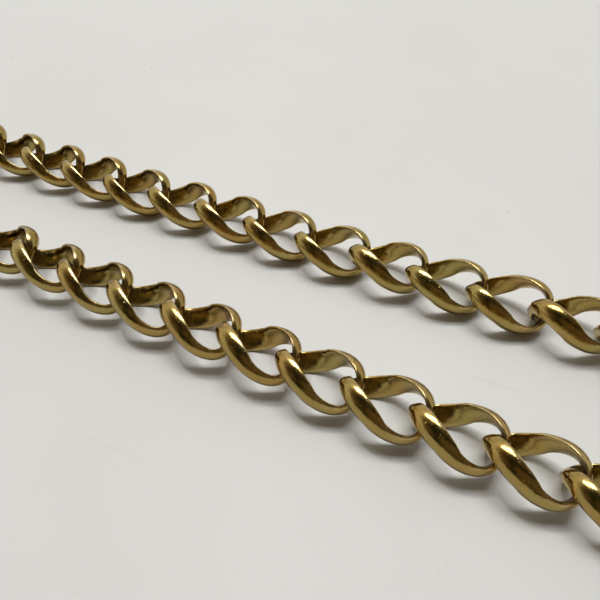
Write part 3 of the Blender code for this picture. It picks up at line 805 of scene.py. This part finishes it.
for arm in ("front", "rear"):
    pivot = Vector(joints[f"{arm}_eye_swing"]["pos_m"])
    clip = Matrix.Translation(pivot) @ clip_turn(arm)
    neck = clip @ Matrix.Translation((HOOK_X * MM, 0.0, 0.0))
    hinge = neck @ Matrix.Translation((GATE_X * MM, GATE_Y * MM, 0.0))

    # eye, with its stem and riveted head
    eye_lean = Matrix.Translation((EYE_BACK, 0.0, 0.0)) @ Matrix.Rotation(TWIST, 4, "X")
    loop = make_mesh("loop", *wire_ring(**EYE), eye_brass, clip @ eye_lean)
    stem = make_mesh("stem", *lathe(eye_profile, 40), eye_brass, clip)
    eye = shape(loop, weld=[stem])
    show(f"{arm}_eye_forged", eye, f"{arm}_swivel_eye", "eye_brass", f"{arm}_swivel_eye")

    # hook, with its gate slot, stem bore and pin bore
    body = make_mesh("hook", *rounded_slab(hook_outline, HOOK_HALF, HOOK_EDGE), hook_brass, neck)
    slot_cut = make_mesh("slot", *slab(slot_outline, -SLOT_HALF, SLOT_HALF), hook_brass, neck)
    bore_profile = [(-1.0, STEM_BORE), (5.5, STEM_BORE)]
    bore_cut = make_mesh("bore", *lathe(bore_profile, 40), hook_brass, neck)
    pin_bore_profile = [(-2 * HOOK_HALF, PIN_BORE), (2 * HOOK_HALF, PIN_BORE)]
    pin_cut = make_mesh("pin", *lathe(pin_bore_profile, 28, "Z"), hook_brass, hinge)
    hook = shape(body, [slot_cut, bore_cut, pin_cut])
    show(f"{arm}_hook_cast", hook, f"{arm}_hook", "hook_brass", f"{arm}_hook_body")

    # gate, with its thumb nub
    plate = make_mesh("gate", *rounded_slab(gate_outline, GATE_HALF, GATE_EDGE, 3), gate_brass, hinge)
    relief_cut = make_mesh("relief", *slab(relief_outline, RELIEF_FLOOR, 1.2), gate_brass, hinge)
    knuckle_profile = [(-2.0, KNUCKLE_BORE), (2.0, KNUCKLE_BORE)]
    knuckle_cut = make_mesh("knuckle", *lathe(knuckle_profile, 32, "Z"), gate_brass, hinge)
    gate = shape(plate, [relief_cut, knuckle_cut])
    show(f"{arm}_gate_plate", gate, f"{arm}_gate", "gate_brass", f"{arm}_gate")

    # pin with rounded heads, and the spring coiled on it
    pin = make_mesh("pin", *lathe(pin_profile, 28, "Z"), pin_steel, hinge)
    show(f"{arm}_gate_pin_steel", pin, f"{arm}_hook", "pin_steel", f"{arm}_gate_pin")
    coil = make_mesh("coil", *coil_spring(), spring_steel, hinge)
    show(f"{arm}_gate_spring_coil", coil, f"{arm}_hook", "spring_steel", f"{arm}_gate_spring")


# ---- surface, light and camera ---------------------------------------------------------
# A pale, faintly scuffed table under soft light from behind and above, seen from close by.

FLOOR_DROP = 0.08 * MM
FLOOR_REACH = 1.6
CAMERA_TILT = math.radians(41.89)
CAMERA_TURN = math.radians(25.54)
CAMERA_PLACE = (0.04679, -0.05594, 0.0721)

floor_material = bpy.data.materials.new("table_top")
floor_material.use_nodes = True
tree = floor_material.node_tree
shader = tree.nodes["Principled BSDF"]
place = add_node(tree, "ShaderNodeTexCoord").outputs["Object"]
cloud = noise(tree, place, scale=14.0)
fleck = noise(tree, place, scale=700.0, detail=2.0, roughness=0.6)
scuff_place = vector_node(tree, "MULTIPLY", place, (30.0, 420.0, 1.0))
scuffs = noise(tree, scuff_place, scale=1.0, detail=2.0, roughness=0.5, distortion=0.6)
scuffs = ramp(tree, scuffs, 0.70, 0.78)
colour = mix_colour(tree, ramp(tree, cloud, 0.3, 0.7), (0.69, 0.695, 0.685), (0.66, 0.665, 0.655))
colour = mix_colour(tree, ramp(tree, fleck, 0.62, 0.8, 0.0, 0.12), colour, (0.4, 0.38, 0.34))
colour = mix_colour(tree, math_node(tree, "MULTIPLY", scuffs, 0.18), colour, (0.45, 0.44, 0.41))
grit = noise(tree, place, scale=760.0, detail=1.0, roughness=0.4)
grit = ramp(tree, grit, 0.79, 0.82, 0.0, 0.5)
colour = mix_colour(tree, grit, colour, (0.33, 0.30, 0.25))
feed(tree, shader.inputs["Base Color"], colour)
feed(tree, shader.inputs["Roughness"], ramp(tree, cloud, 0.3, 0.7, 0.5, 0.6))
floor_mesh = bpy.data.meshes.new("table_top")
corners = [(-1, -1), (1, -1), (1, 1), (-1, 1)]
floor_mesh.from_pydata([(x * FLOOR_REACH, y * FLOOR_REACH, -FLOOR_DROP) for x, y in corners], [],
                       [(0, 1, 2, 3)])
floor_mesh.materials.append(floor_material)
floor = bpy.data.objects.new("table_top", floor_mesh)
bpy.context.scene.collection.objects.link(floor)

look_at = Vector((0.040, 0.0, 0.0))


def toward(azimuth, elevation):
    """Unit direction; azimuth 0 is straight behind the chain as the camera sees it."""
    a, e = math.radians(azimuth) - CAMERA_TURN, math.radians(elevation)
    return Vector((math.sin(a) * math.cos(e), math.cos(a) * math.cos(e), math.sin(e)))


world = bpy.data.worlds.new("room")
bpy.context.scene.world = world
world.use_nodes = True
tree = world.node_tree
ray = add_node(tree, "ShaderNodeTexCoord").outputs["Generated"]
onlooker = vector_node(tree, "DOT_PRODUCT", ray, tuple(toward(180.0, 45.0)))
walls = noise(tree, ray, scale=1.6, roughness=0.6)
bright = mix_colour(tree, ramp(tree, walls, 0.35, 0.65), (0.92, 0.92, 0.92), (0.54, 0.51, 0.45))
dark = mix_colour(tree, ramp(tree, walls, 0.4, 0.6), (0.024, 0.025, 0.015), (0.16, 0.11, 0.06))
sky = mix_colour(tree, ramp(tree, onlooker, 0.1, 0.6), bright, dark)
feed(tree, tree.nodes["Background"].inputs["Color"], sky)


def soft_light(name, azimuth, elevation, distance, width, height, power, colour):
    """Rectangular light aimed at the middle of the view."""
    data = bpy.data.lights.new(name, "AREA")
    data.shape = "RECTANGLE"
    data.size = width
    data.size_y = height
    data.energy = power
    data.color = colour
    light = bpy.data.objects.new(name, data)
    bpy.context.scene.collection.objects.link(light)
    away = toward(azimuth, elevation)
    light.location = look_at + away * distance
    light.rotation_euler = (-away).to_track_quat("-Z", "Y").to_euler()


soft_light("ceiling_panel", azimuth=8.0, elevation=72.0, distance=1.5, width=0.9, height=0.55,
           power=14.2, colour=(1.0, 1.0, 1.0))
soft_light("lamp", azimuth=-35.0, elevation=62.0, distance=1.2, width=0.05, height=0.03,
           power=2.0, colour=(1.0, 0.97, 0.9))

camera_data = bpy.data.cameras.new("camera")
camera_data.lens = 34.94
camera_data.sensor_width = 36.0
camera_data.clip_start = 0.001
camera_data.clip_end = 20.0
camera = bpy.data.objects.new("camera", camera_data)
camera.location = CAMERA_PLACE
camera.rotation_euler = (CAMERA_TILT, 0.0, CAMERA_TURN)
bpy.context.scene.collection.objects.link(camera)
bpy.context.scene.camera = camera
bpy.context.scene.view_settings.view_transform = "Standard"
